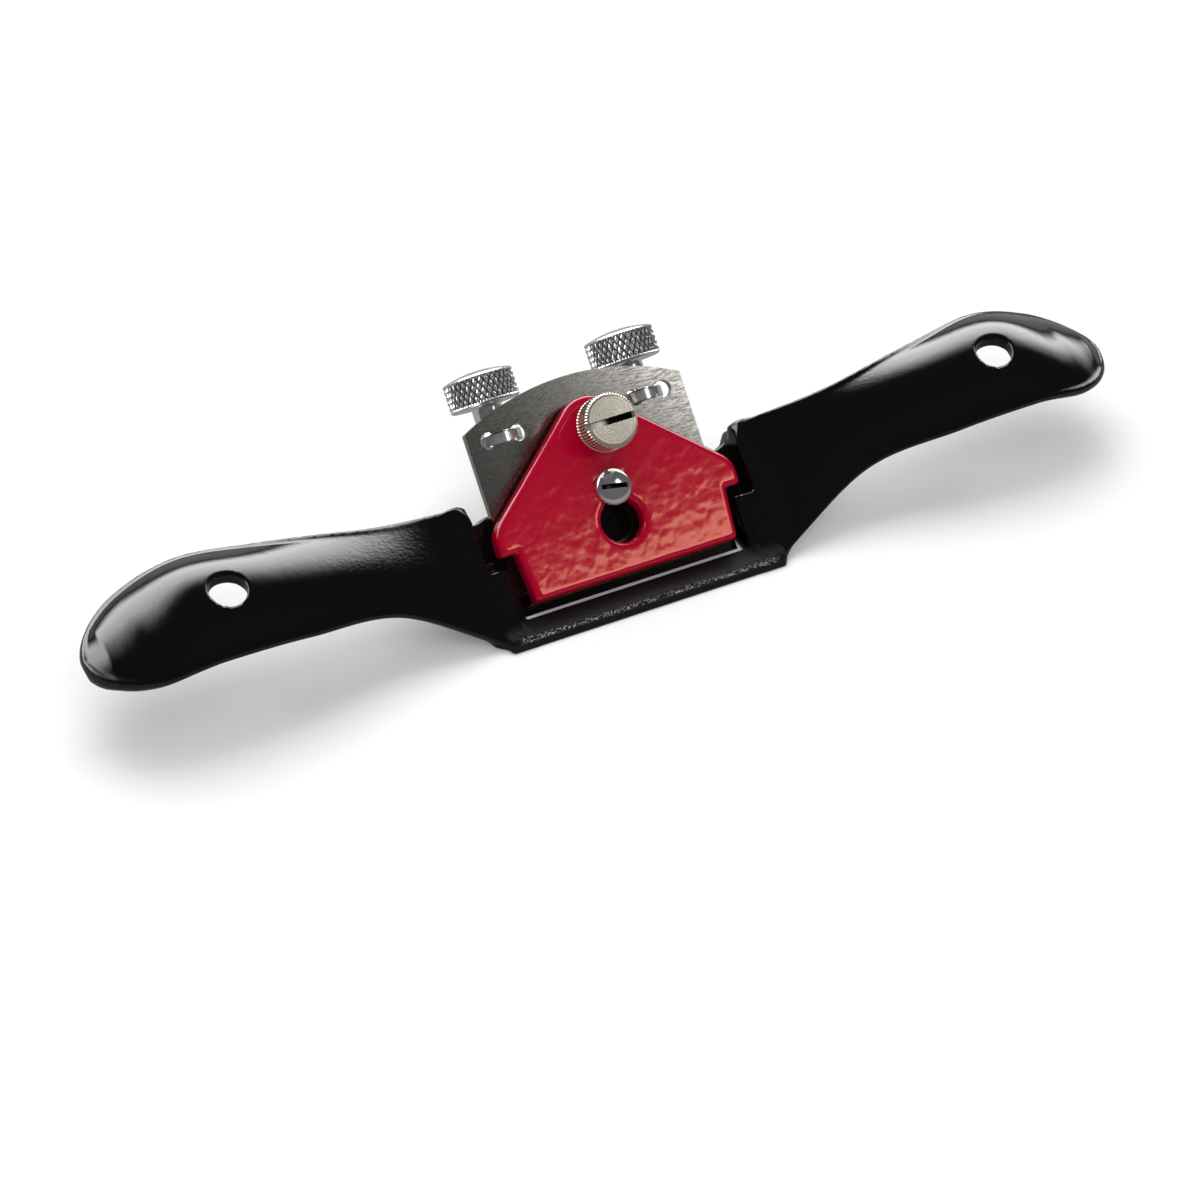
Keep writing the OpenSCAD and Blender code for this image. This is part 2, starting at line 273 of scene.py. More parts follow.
def casting_distance(x, y, z):
    """Distance to the whole casting: cheeks, bed, toe, heel, bosses and handles, less well and holes."""
    across = np.abs(x)
    s, t = to_bed(y, z)
    dip = DIP_DEPTH * np.exp(-((across - DIP_X) / DIP_HALF) ** 2)
    top = BED_TOP - dip + (CHEEK_TOP - BED_TOP) * ramp(across, 32.6, 35.2)
    cheek = higher(t - CHEEK_FRONT, LOWER_WELL - across, 0.9)
    block = lower(cheek, t - BED_FACE, 0.4)
    block = higher(block, BED_BACK - t, 1.0)
    block = higher(block, s - top, 1.6)
    block = higher(block, across - CHEEK_HALF, 1.8)
    heel = higher(higher(y - HEEL, 2 - y, 0.5), z - HEEL_THICK, 1.0)
    toe = higher(z - TOE_THICK, (TOE - y) * 0.93 + z * 0.36, 0.9)
    foot = higher(lower(heel, higher(toe, y - 4, 0.4), 0.5), across - SOLE_HALF, 0.8)
    boss = np.hypot(across - BOSS_X, t - BOSS_T) - BOSS_R
    boss = higher(higher(boss, s - BED_TOP, 0.8), BOSS_FOOT - s, 1.5)
    body = lower(lower(block, foot, 1.6), boss, 2.0)
    body = lower(body, handle_distance(across, y, z), 3.0)
    well = higher(higher(across - LOWER_WELL, BED_FACE - t, 0.3), -MOUTH_LEAN * z - y, 0.3)
    wide = higher(higher(across - UPPER_WELL, BED_FACE - t, 0.3), LEDGE - s, 0.6)
    body = higher(body, -lower(well, wide, 0.5), 0.9)
    body = higher(body, HOLE_R - np.hypot(across - HOLE_X, y - HOLE_Y), 0.5)
    return higher(body, -z, 0.35)


def skin(distance, low, high, step, settle=2):
    """Closed quad skin of a solid given by its distance. One vertex stands in each grid cell that the
    surface cuts, at the mean of the cuts on the cell's edges, and is then settled onto the surface."""
    axes = [np.arange(lo, hi + step, step) for lo, hi in zip(low, high)]
    d = distance(*np.meshgrid(*axes, indexing="ij")).astype(np.float32)
    cells = np.array(d.shape) - 1
    total, count = np.zeros((*cells, 3), np.float32), np.zeros(cells, np.int8)
    cuts = []
    for a in range(3):
        first = d[tuple(slice(0, -1) if k == a else slice(None) for k in range(3))]
        last = d[tuple(slice(1, None) if k == a else slice(None) for k in range(3))]
        cut = (first < 0) != (last < 0)
        share = np.where(cut, first / np.where(cut, first - last, 1), 0)
        cuts.append((cut, first < 0))
        b, c = (a + 1) % 3, (a + 2) % 3
        for ob in (0, 1):
            for oc in (0, 1):
                part = [slice(None)] * 3
                part[b], part[c] = slice(ob, ob + cells[b]), slice(oc, oc + cells[c])
                here = cut[tuple(part)]
                count += here
                total[..., a] += share[tuple(part)]
                total[..., b] += ob * here
                total[..., c] += oc * here
    index = np.full(cells, -1)
    used = np.argwhere(count > 0)
    index[tuple(used.T)] = np.arange(len(used))
    points = np.array(low) + (used + total[tuple(used.T)] / count[tuple(used.T)][:, None]) * step
    quads = []
    for a in range(3):
        cut, inside = cuts[a]
        b, c = (a + 1) % 3, (a + 2) % 3
        part = [slice(None)] * 3
        part[b], part[c] = slice(1, -1), slice(1, -1)
        at = np.argwhere(cut[tuple(part)])
        outward = inside[tuple(part)][tuple(at.T)]
        at[:, b] += 1
        at[:, c] += 1
        ring = []
        for ob, oc in ((1, 1), (0, 1), (0, 0), (1, 0)):
            cell = at.copy()
            cell[:, b] -= ob
            cell[:, c] -= oc
            ring.append(index[tuple(cell.T)])
        ring = np.stack(ring, 1)
        quads.append(np.where(outward[:, None], ring, ring[:, ::-1]))
    for _ in range(settle):
        near, lean = distance(*points.T), []
        for k in range(3):
            aside = points.copy()
            aside[:, k] += 0.02
            lean.append((distance(*aside.T) - near) / 0.02)
        lean = np.stack(lean, 1)
        step_back = near / np.maximum((lean ** 2).sum(1), 0.2)
        points = points - np.clip(step_back, -step * 0.5, step * 0.5)[:, None] * lean
    return points, np.vstack(quads)


def piece(name, points, faces, body, replaced, material, sharp=None):
    """A mesh object from millimetre points and faces, finished, riding on its body."""
    mesh = bpy.data.meshes.new(name)
    mesh.from_pydata((np.asarray(points, float) * MM).tolist(), [], np.asarray(faces).tolist())
    mesh.validate()
    obj = bpy.data.objects.new(name, mesh)
    bpy.context.scene.collection.objects.link(obj)
    mesh.shade_smooth()
    if sharp:
        mesh.set_sharp_from_angle(angle=math.radians(sharp))
    mesh.materials.append(material)
    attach(obj, body)
    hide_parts(replaced)
    return obj


def node(tree, kind, **values):
    """Adds a shader node and sets its named inputs."""
    made = tree.nodes.new(kind)
    for key, value in values.items():
        made.inputs[key.replace("_", " ")].default_value = value
    return made


def finish(name, colour, metallic, roughness):
    """A new material with its Principled shader set. Returns the material, its tree and the shader."""
    material = bpy.data.materials.new(name)
    material.use_nodes = True
    tree = material.node_tree
    shader = tree.nodes["Principled BSDF"]
    shader.inputs["Base Color"].default_value = (*colour, 1)
    shader.inputs["Metallic"].default_value = metallic
    shader.inputs["Roughness"].default_value = roughness
    return material, tree, shader


def flow_group():
    """Node group for stoved enamel: an orange-peel height, with sand-cast grit where a mask lets it
    through the coat. Sizes are waves per metre."""
    group = bpy.data.node_groups.new("enamel_flow", "ShaderNodeTree")
    face = group.interface
    for name in ("Peel Scale", "Grit Scale", "Grit Share"):
        face.new_socket(name=name, in_out="INPUT", socket_type="NodeSocketFloat")
    face.new_socket(name="Height", in_out="OUTPUT", socket_type="NodeSocketFloat")
    ins, outs = group.nodes.new("NodeGroupInput"), group.nodes.new("NodeGroupOutput")
    where = group.nodes.new("ShaderNodeTexCoord")
    peel = node(group, "ShaderNodeTexNoise", Detail=1.5, Roughness=0.45)
    sag = node(group, "ShaderNodeTexNoise", Scale=90.0, Detail=2.0)
    grit = node(group, "ShaderNodeTexNoise", Detail=3.0, Roughness=0.6)
    rise = group.nodes.new("ShaderNodeMath")
    rise.operation = "MULTIPLY_ADD"
    rise.inputs[1].default_value = 0.6
    rough = group.nodes.new("ShaderNodeMath")
    rough.operation = "MULTIPLY_ADD"
    for texture in (peel, sag, grit):
        group.links.new(where.outputs["Object"], texture.inputs["Vector"])
    group.links.new(ins.outputs["Peel Scale"], peel.inputs["Scale"])
    group.links.new(ins.outputs["Grit Scale"], grit.inputs["Scale"])
    group.links.new(sag.outputs["Fac"], rise.inputs[0])
    group.links.new(peel.outputs["Fac"], rise.inputs[2])
    group.links.new(grit.outputs["Fac"], rough.inputs[0])
    group.links.new(ins.outputs["Grit Share"], rough.inputs[1])
    group.links.new(rise.outputs[0], rough.inputs[2])
    group.links.new(rough.outputs[0], outs.inputs["Height"])
    return group


enamel_flow = flow_group()


def enamel(name, colour, roughness, peel_scale, grit_scale, depth):
    """Gloss stoved enamel over a casting. Returns the material, its tree and its flow node."""
    material, tree, shader = finish(name, colour, 0.0, roughness)
    flow = tree.nodes.new("ShaderNodeGroup")
    flow.node_tree = enamel_flow
    flow.inputs["Peel Scale"].default_value = peel_scale
    flow.inputs["Grit Scale"].default_value = grit_scale
    bump = node(tree, "ShaderNodeBump", Strength=1.0, Distance=depth * MM)
    tree.links.new(flow.outputs["Height"], bump.inputs["Height"])
    tree.links.new(bump.outputs["Normal"], shader.inputs["Normal"])
    return material, tree, flow


def stretch(tree, source, near, far, start, end):
    """Smooth map of a value from one range to another."""
    step = tree.nodes.new("ShaderNodeMapRange")
    step.interpolation_type = "SMOOTHSTEP"
    for key, value in zip(("From Min", "From Max", "To Min", "To Max"), (near, far, start, end)):
        step.inputs[key].default_value = value
    tree.links.new(source, step.inputs["Value"])
    return step.outputs["Result"]


def product(tree, a, b):
    """The product of two node values."""
    times = tree.nodes.new("ShaderNodeMath")
    times.operation = "MULTIPLY"
    tree.links.new(a, times.inputs[0])
    tree.links.new(b, times.inputs[1])
    return times.outputs[0]


def mask(tree, *bands):
    """The product of bands: each is a place's coordinate, two values of it in mm, and its share at each."""
    whole = None
    for source, near, far, start, end in bands:
        band = stretch(tree, source, near * MM, far * MM, start, end)
        whole = band if whole is None else product(tree, whole, band)
    return whole


# The toe's front edge has pale specks: bare iron, and also a painted highlight along its rough edge. The
# sole's top is duller than the rest.
BLACK, WORN_AND_GLINT = (0.003, 0.003, 0.0034, 1), (0.4, 0.4, 0.41, 1)
GLOSS, SOLE_DULLER = 0.13, 0.4
black_enamel, tree, flow = enamel("black_enamel", BLACK[:3], GLOSS, 420.0, 1100.0, 0.03)
place = tree.nodes.new("ShaderNodeTexCoord")
parts = tree.nodes.new("ShaderNodeSeparateXYZ")
tree.links.new(place.outputs["Object"], parts.inputs[0])
outward = tree.nodes.new("ShaderNodeMath")
outward.operation = "ABSOLUTE"
tree.links.new(parts.outputs["X"], outward.inputs[0])
out_x, at_y, at_z = outward.outputs[0], parts.outputs["Y"], parts.outputs["Z"]
neck = mask(tree, (out_x, 34, 42, 0, 1), (out_x, 55, 85, NECK_GRIT, 0.15))
toe_edge = mask(tree, (at_y, -7.5, -5, TOE_GRIT, 1.5), (at_z, 1.4, 2.1, 0, 1), (at_z, 3.4, 4.2, 1, 0))
grit_sum = tree.nodes.new("ShaderNodeMath")
tree.links.new(neck, grit_sum.inputs[0])
tree.links.new(toe_edge, grit_sum.inputs[1])
tree.links.new(grit_sum.outputs[0], flow.inputs["Grit Share"])
# Painted highlight and bare iron: pale specks along the toe's front edge.
worn_glint_edge = mask(tree, (at_y, -9.5, -9, 0.3, 1), (at_y, -8.5, -7.5, 1, 0), (at_z, 1.6, 2.1, 0, 1),
                 (out_x, 31, 33, 1, 0))
specks = node(tree, "ShaderNodeTexNoise", Scale=2200.0, Detail=3.0, Roughness=0.7)
tree.links.new(place.outputs["Object"], specks.inputs["Vector"])
worn_glint = tree.nodes.new("ShaderNodeMix")
worn_glint.data_type = "RGBA"
worn_glint.inputs[6].default_value = BLACK
worn_glint.inputs[7].default_value = WORN_AND_GLINT
bare_glint = product(tree, worn_glint_edge, stretch(tree, specks.outputs["Fac"], 0.5, 0.62, 0, 1))
tree.links.new(bare_glint, worn_glint.inputs[0])
shader = tree.nodes["Principled BSDF"]
tree.links.new(worn_glint.outputs[2], shader.inputs["Base Color"])
sole_top = mask(tree, (at_y, -3, -1, 1, 0), (at_z, 3.2, 4.5, 1, 0), (out_x, 33, 36, 1, 0))
dull = tree.nodes.new("ShaderNodeMath")
dull.operation = "MULTIPLY_ADD"
dull.inputs[1].default_value = SOLE_DULLER
dull.inputs[2].default_value = GLOSS
tree.links.new(sole_top, dull.inputs[0])
tree.links.new(dull.outputs[0], shader.inputs["Roughness"])
points, faces = skin(casting_distance, (-127.5, -17, -1), (127.5, 24, 34.5), 0.5)
piece("casting", points, faces, "frame", "body_casting", black_enamel)

# ---------------------------------------------------------------------------------------------------
# The lever cap is a small iron casting with stepped ears, a round tip and a keyhole, in gloss red
# enamel. It hangs on the cap screw, and its lower lip presses the iron onto the bed.
CAP_FACE, CAP_BACK, CAP_ROUND = 7.3, 3.1, 1.5
CAP_FOOT, CAP_FOOT_HALF, CAP_STEP_HALF, CAP_STEP = 2.4, 25.2, 26.2, 14.1
CAP_EAR_HALF = 30.0
FLANK = math.radians(41)
TIP_S, TIP_R = 35.2, 8.1
KEY_S, KEY_R, KEY_SLOT = 14.1, 5.0, 2.5
CAP_SCREW_S = 21.8
LIP_TOP = 5.2


def cap_distance(x, s, t):
    """Distance to the cap: its outline carried through its thickness with a quarter-round front edge."""
    across = np.abs(x)
    taper = CAP_FOOT_HALF + (CAP_STEP_HALF - CAP_FOOT_HALF) * (s - CAP_FOOT) / (CAP_STEP - CAP_FOOT)
    skirt = higher(across - taper, CAP_FOOT - s, 1.0)
    ears = higher(across - CAP_EAR_HALF, CAP_STEP - s, 1.0)
    reach = math.sin(FLANK) * across + math.cos(FLANK) * (s - TIP_S) - TIP_R
    round_tip = np.hypot(across, s - TIP_S) - TIP_R
    beyond = across * math.cos(FLANK) < (s - TIP_S) * math.sin(FLANK)
    flank = np.where(beyond, round_tip, reach)
    outline = higher(lower(skirt, ears, 0.8), flank, 2.2)
    key = lower(np.hypot(x, s - KEY_S) - KEY_R, higher(across - KEY_SLOT, np.abs(s - 18) - 5.5, 0.5), 0.6)
    outline = np.maximum(outline, -key)
    a, b = outline + CAP_ROUND, t - CAP_FACE + CAP_ROUND
    plate = np.hypot(np.maximum(a, 0), np.maximum(b, 0)) + np.minimum(np.maximum(a, b), 0) - CAP_ROUND
    plate = higher(plate, CAP_BACK - t, 0.5)
    lip = higher(np.abs(s - (CAP_FOOT + LIP_TOP) / 2) - (LIP_TOP - CAP_FOOT) / 2, across - 24.6, 0.5)
    lip = higher(higher(lip, 0.12 - t, 0.4), t - 5, 0.4)
    return lower(plate, lip, 0.5)


red_enamel, *_ = enamel("red_enamel", (0.34, 0.0005, 0.018), 0.12, 340.0, 900.0, 0.08)
points, faces = skin(cap_distance, (-31, 1.5, -0.6), (31, 44.5, 8.2), 0.34)
cap = piece("cap", from_bed(points), faces, "cap", "lever_cap", red_enamel)
lit_by_low.objects.link(cap)

# ---------------------------------------------------------------------------------------------------
# The cutting iron is hardened tool steel, ground all over and left bright. It lies on the bed, bevel
# down, and a dog-bone slot on each side takes a nut's collar.


def ground_steel(name, colour, roughness, grain, depth):
    """Steel with a surface grinder's grain: fine scratches across the iron that show in its colour,
    its gloss and its surface. The last few millimetres above the honed edge are painted dark, as painted
    shade and a painted dark reflection."""
    material, tree, shader = finish(name, colour, 1.0, roughness)
    where = tree.nodes.new("ShaderNodeTexCoord")
    turn = tree.nodes.new("ShaderNodeMapping")
    turn.inputs["Rotation"].default_value = (-BED_SLOPE, 0, 0)
    long = tree.nodes.new("ShaderNodeVectorMath")
    long.operation = "MULTIPLY"
    long.inputs[1].default_value = (0.14, 1, 1)
    parts = tree.nodes.new("ShaderNodeSeparateXYZ")
    scratches = node(tree, "ShaderNodeTexNoise", Scale=grain, Detail=2.0, Roughness=0.6)
    bump = node(tree, "ShaderNodeBump", Strength=1.0, Distance=depth * MM)
    tone = tree.nodes.new("ShaderNodeMix")
    tone.data_type = "RGBA"
    tone.inputs[6].default_value = (0, 0, 0, 1)
    tone.inputs[7].default_value = (*(c * 1.45 for c in colour), 1)
    tree.links.new(where.outputs["Object"], turn.inputs["Vector"])
    tree.links.new(turn.outputs["Vector"], long.inputs[0])
    tree.links.new(turn.outputs["Vector"], parts.inputs[0])
    tree.links.new(long.outputs["Vector"], scratches.inputs["Vector"])
    tree.links.new(scratches.outputs["Fac"], bump.inputs["Height"])
    tree.links.new(bump.outputs["Normal"], shader.inputs["Normal"])
    grain_tone = stretch(tree, scratches.outputs["Fac"], 0.32, 0.68, 0.42, 0.9)
    # Painted shade: the last few millimetres above the edge go dark, but not the honed arris.
    above = stretch(tree, parts.outputs["Y"], SHADE_STRIP_HIGH * MM, (SHADE_STRIP_HIGH + 1.5) * MM, 0.06, 1)
    edge = stretch(tree, parts.outputs["Y"], HONED * MM, (HONED + 0.08) * MM, 1, 0)
    kept = tree.nodes.new("ShaderNodeMath")
    kept.operation = "MAXIMUM"
    tree.links.new(above, kept.inputs[0])
    tree.links.new(edge, kept.inputs[1])
    tree.links.new(product(tree, grain_tone, kept.outputs[0]), tone.inputs[0])
    tree.links.new(tone.outputs[2], shader.inputs["Base Color"])
    gloss = stretch(tree, scratches.outputs["Fac"], 0.3, 0.7, roughness + 0.08, roughness - 0.06)
    tree.links.new(gloss, shader.inputs["Roughness"])
    return material


SHADE_STRIP_HIGH, HONED = 4.6, 0.4       # up the bed, where the painted shade at the end stops and where the honed arris starts
iron_steel = ground_steel("iron_steel", (0.42, 0.405, 0.375), 0.2, 4200.0, 0.0012)
iron_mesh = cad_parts["cutting_iron"].data
iron_mesh.materials.clear()
iron_mesh.materials.append(iron_steel)
lit_by_side.objects.link(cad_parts["cutting_iron"])

# ---------------------------------------------------------------------------------------------------
# Each adjusting nut is turned from bar and bright plated: a collar that drives the iron, a neck and a
# head with a diamond knurl. It runs on a threaded stud that is screwed into the bed's boss.
NUT_X, NUT_T = 17.8, -6.3
COLLAR_LOW, COLLAR_HIGH, COLLAR_R = 38.75, 41.45, 5.75
NECK_R, HEAD_LOW, HEAD_HIGH, HEAD_R = 3.5, 48.5, 55.3, 8.2
NUT_BORE, NUT_BORE_TOP = 2.6, 53.0
KNURL_COUNT, KNURL_DEPTH, KNURL_RISE = 36, 0.42, 2.6


def turned(profile, columns, place, cut=None):
    """A profile of (radius, height) rows carried round the s axis of the bed, or the t axis where the
    place is flagged so. cut(angle, radius, height) may change the radii."""
    centre, upright = place
    angle = np.arange(columns) * 2 * math.pi / columns
    radius, height = (np.repeat(column[:, None], columns, 1) for column in np.asarray(profile, float).T)
    angle = np.repeat(angle[None, :], len(radius), 0)
    if cut:
        radius = cut(angle, radius, height)
    side, deep = radius * np.cos(angle), radius * np.sin(angle)
    if upright:
        local = np.stack([centre[0] + side, centre[1] + deep, height], -1)
    else:
        local = np.stack([centre[0] + side, height, centre[1] - deep], -1)
    rows = len(radius)
    i, j = np.meshgrid(np.arange(rows - 1), np.arange(columns), indexing="ij")
    k = (j + 1) % columns
    quads = np.stack([i * columns + j, i * columns + k, (i + 1) * columns + k, (i + 1) * columns + j], -1)
    return from_bed(local.reshape(-1, 3)), quads.reshape(-1, 4)


def spaced(profile, pitch):
    """The same profile with points at most a pitch apart."""
    out = [profile[0]]
    for a, b in zip(profile[:-1], profile[1:]):
        n = max(1, int(math.ceil(math.dist(a, b) / pitch)))
        out += [(a[0] + (b[0] - a[0]) * f / n, a[1] + (b[1] - a[1]) * f / n) for f in range(1, n + 1)]
    return np.array(out)


def close_poles(obj):
    """Merges the points that meet on the axis and drops the faces that vanish there."""
    mesh = bmesh.new()
    mesh.from_mesh(obj.data)
    bmesh.ops.remove_doubles(mesh, verts=mesh.verts, dist=1e-7)
    mesh.to_mesh(obj.data)
    mesh.free()


def groove_depth(angle, radius, height):
    """How deep the knurl's two crossed sets of grooves are: 0 at a pyramid's point, 1 in a groove."""
    turns = angle * KNURL_COUNT / (2 * math.pi)
    rise = (height - HEAD_LOW) / KNURL_RISE
    groove = np.maximum(np.abs((turns + rise) % 1 - 0.5), np.abs((turns - rise) % 1 - 0.5)) * 2
    band = (radius > HEAD_R - 0.05) * ramp(height, HEAD_LOW + 0.3, HEAD_LOW + 0.6)
    band = band * (1 - ramp(height, HEAD_HIGH - 0.6, HEAD_HIGH - 0.3))
    return groove ** 1.3 * band


def diamond(angle, radius, height):
    """Knurl: the grooves cut the rim into pyramids that stay level with it at their points."""
    return radius - KNURL_DEPTH * groove_depth(angle, radius, height)


def shade_grooves(obj, profile, columns, depth):
    """Writes how deep each point of a turned piece lies in its knurl, for the painted shade in the grooves.
    """
    angle = np.repeat(np.arange(columns)[None, :] * 2 * math.pi / columns, len(profile), 0)
    radius, height = (np.repeat(column[:, None], columns, 1) for column in profile.T)
    layer = obj.data.attributes.new("groove", "FLOAT", "POINT")
    layer.data.foreach_set("value", depth(angle, radius, height).astype(np.float32).ravel())


def lathe_group():
    """Node group for lathe-turned metal: fine rings about a piece's own axis, with the place of each
    point as its height along that axis and its distance from it."""
    group = bpy.data.node_groups.new("lathe_rings", "ShaderNodeTree")
    face = group.interface
    for name, kind in (("Centre", "Vector"), ("Axis Turn", "Vector"), ("Rings", "Float")):
        face.new_socket(name=name, in_out="INPUT", socket_type="NodeSocket" + kind)
    for name in ("Lines", "Height", "Away", "Across"):
        face.new_socket(name=name, in_out="OUTPUT", socket_type="NodeSocketFloat")
    ins, outs = group.nodes.new("NodeGroupInput"), group.nodes.new("NodeGroupOutput")
    where = group.nodes.new("ShaderNodeTexCoord")
    move = group.nodes.new("ShaderNodeVectorMath")
    move.operation = "SUBTRACT"
    turn = group.nodes.new("ShaderNodeMapping")
    flat = group.nodes.new("ShaderNodeVectorMath")
    flat.operation = "MULTIPLY"
    flat.inputs[1].default_value = (1, 1, 0)
    away = group.nodes.new("ShaderNodeVectorMath")
    away.operation = "LENGTH"
    split = group.nodes.new("ShaderNodeSeparateXYZ")
    lines = node(group, "ShaderNodeTexNoise", Detail=3.0, Roughness=0.6)
    lines.noise_dimensions = "1D"
    group.links.new(where.outputs["Object"], move.inputs[0])
    group.links.new(ins.outputs["Centre"], move.inputs[1])
    group.links.new(move.outputs["Vector"], turn.inputs["Vector"])
    group.links.new(ins.outputs["Axis Turn"], turn.inputs["Rotation"])
    group.links.new(turn.outputs["Vector"], flat.inputs[0])
    group.links.new(turn.outputs["Vector"], split.inputs[0])
    group.links.new(flat.outputs["Vector"], away.inputs[0])
    group.links.new(away.outputs["Value"], lines.inputs["W"])
    group.links.new(ins.outputs["Rings"], lines.inputs["Scale"])
    group.links.new(lines.outputs["Fac"], outs.inputs["Lines"])
    group.links.new(split.outputs["Z"], outs.inputs["Height"])
    group.links.new(away.outputs["Value"], outs.inputs["Away"])
    group.links.new(split.outputs["X"], outs.inputs["Across"])
    return group


def shade_group():
    """Node group for painted shade: metal goes dark where a slot mask says so, and in the grooves of a
    knurl, whose depth the mesh carries in its groove attribute."""
    group = bpy.data.node_groups.new("painted_shade", "ShaderNodeTree")
    face = group.interface
    face.new_socket(name="Metal", in_out="INPUT", socket_type="NodeSocketColor")
    face.new_socket(name="Shade", in_out="INPUT", socket_type="NodeSocketColor")
    for name in ("Slot", "Groove From", "Groove To", "Groove Share"):
        face.new_socket(name=name, in_out="INPUT", socket_type="NodeSocketFloat")
    face.new_socket(name="Color", in_out="OUTPUT", socket_type="NodeSocketColor")
    ins, outs = group.nodes.new("NodeGroupInput"), group.nodes.new("NodeGroupOutput")
    groove = group.nodes.new("ShaderNodeAttribute")
    groove.attribute_name = "groove"
    deep = group.nodes.new("ShaderNodeMapRange")
    deep.interpolation_type = "SMOOTHSTEP"
    both = group.nodes.new("ShaderNodeMath")
    both.operation = "MAXIMUM"
    mix = group.nodes.new("ShaderNodeMix")
    mix.data_type = "RGBA"
    group.links.new(groove.outputs["Fac"], deep.inputs["Value"])
    group.links.new(ins.outputs["Groove From"], deep.inputs["From Min"])
    group.links.new(ins.outputs["Groove To"], deep.inputs["From Max"])
    group.links.new(ins.outputs["Groove Share"], deep.inputs["To Max"])
    group.links.new(ins.outputs["Slot"], both.inputs[0])
    group.links.new(deep.outputs["Result"], both.inputs[1])
    group.links.new(both.outputs[0], mix.inputs[0])
    group.links.new(ins.outputs["Metal"], mix.inputs[6])
    group.links.new(ins.outputs["Shade"], mix.inputs[7])
    group.links.new(mix.outputs[2], outs.inputs["Color"])
    return group


lathe_rings = lathe_group()
painted_shade = shade_group()


def turned_metal(name, colour, roughness, centre, axis_turn, rings, depth):
    """Metal with lathe rings in its surface and its gloss. Returns the material and its rings node."""
    material, tree, shader = finish(name, colour, 0.85, roughness)
    lathe = tree.nodes.new("ShaderNodeGroup")
    lathe.node_tree = lathe_rings
    lathe.inputs["Centre"].default_value = Vector(centre)
    lathe.inputs["Axis Turn"].default_value = axis_turn
    lathe.inputs["Rings"].default_value = rings
    bump = node(tree, "ShaderNodeBump", Strength=1.0, Distance=depth * MM)
    gloss = tree.nodes.new("ShaderNodeMapRange")
    gloss.inputs["To Min"].default_value = max(0.03, roughness - 0.08)
    gloss.inputs["To Max"].default_value = roughness + 0.08
    tree.links.new(lathe.outputs["Lines"], bump.inputs["Height"])
    tree.links.new(bump.outputs["Normal"], shader.inputs["Normal"])
    tree.links.new(lathe.outputs["Lines"], gloss.inputs["Value"])
    tree.links.new(gloss.outputs["Result"], shader.inputs["Roughness"])
    return material, lathe


def paint_shade(material, shade_colour, groove_from, groove_to, groove_share, slot=None):
    """Paints shade on a turned metal: darkens the knurl's grooves and, if given, where the slot mask is 1.
    """
    tree = material.node_tree
    shader = tree.nodes["Principled BSDF"]
    shade_node = tree.nodes.new("ShaderNodeGroup")
    shade_node.node_tree = painted_shade
    shade_node.inputs["Metal"].default_value = shader.inputs["Base Color"].default_value
    shade_node.inputs["Shade"].default_value = (*shade_colour, 1)
    shade_node.inputs["Groove From"].default_value = groove_from
    shade_node.inputs["Groove To"].default_value = groove_to
    shade_node.inputs["Groove Share"].default_value = groove_share
    if slot is not None:
        tree.links.new(slot, shade_node.inputs["Slot"])
    tree.links.new(shade_node.outputs["Color"], shader.inputs["Base Color"])


NUT_PROFILE = [
    (0, NUT_BORE_TOP), (NUT_BORE, NUT_BORE_TOP), (NUT_BORE, COLLAR_LOW), (COLLAR_R - 0.25, COLLAR_LOW),
    (COLLAR_R, COLLAR_LOW + 0.25), (COLLAR_R, COLLAR_HIGH - 0.25), (COLLAR_R - 0.25, COLLAR_HIGH),
    (NECK_R + 0.5, COLLAR_HIGH), (NECK_R + 0.15, COLLAR_HIGH + 0.15), (NECK_R, COLLAR_HIGH + 0.5),
    (NECK_R, HEAD_LOW - 0.5), (NECK_R + 0.15, HEAD_LOW - 0.15), (NECK_R + 0.5, HEAD_LOW),
    (HEAD_R - 0.45, HEAD_LOW), (HEAD_R, HEAD_LOW + 0.35), (HEAD_R, HEAD_HIGH - 0.35),
    (HEAD_R - 0.45, HEAD_HIGH)]
DOME_RISE, DOME_R = 1.15, HEAD_R - 0.45
NUT_DOME = [(r, HEAD_HIGH + DOME_RISE * (1 - (r / DOME_R) ** 2)) for r in np.linspace(HEAD_R - 0.6, 0, 16)]
NUT_COLUMNS = 480
PLATE, NUT_SHADE = (0.88, 0.885, 0.9), (0.015, 0.015, 0.017)
# The knurled rim runs from this corner of the profile to the next, and only there are the rows close.
RIM = 14
nut_profile = np.vstack([spaced(NUT_PROFILE[:RIM + 1], 0.8), spaced(NUT_PROFILE[RIM:RIM + 2], 0.13)[1:],
                         NUT_PROFILE[RIM + 2:], NUT_DOME])
for side, hand in ((-1, "left"), (1, "right")):
    axis = from_bed(np.array([side * NUT_X, 0, NUT_T])) * MM
    plate, _ = turned_metal("bright_plate_" + hand, PLATE, 0.2, axis, (math.pi / 4, 0, 0), 1800.0, 0.003)
    # Painted shade in the knurl's grooves, darker the deeper they lie.
    paint_shade(plate, NUT_SHADE, 0.5, 0.95, 1.0)
    points, faces = turned(nut_profile, NUT_COLUMNS, ((side * NUT_X, NUT_T), False), diamond)
    nut = piece("nut_" + hand, points, faces, "nut_" + hand, "adjusting_nut_" + hand,
                plate, 35)
    shade_grooves(nut, nut_profile, NUT_COLUMNS, groove_depth)
    close_poles(nut)
    lit_by_side.objects.link(nut)

# ---------------------------------------------------------------------------------------------------
# The studs are steel rod with a 0.8 mm pitch rolled thread, screwed into the bosses behind the bed.
STUD_LOW, STUD_HIGH, STUD_R, PITCH, THREAD_DEPTH = 13.5, 50.0, 2.5, 0.8, 0.42


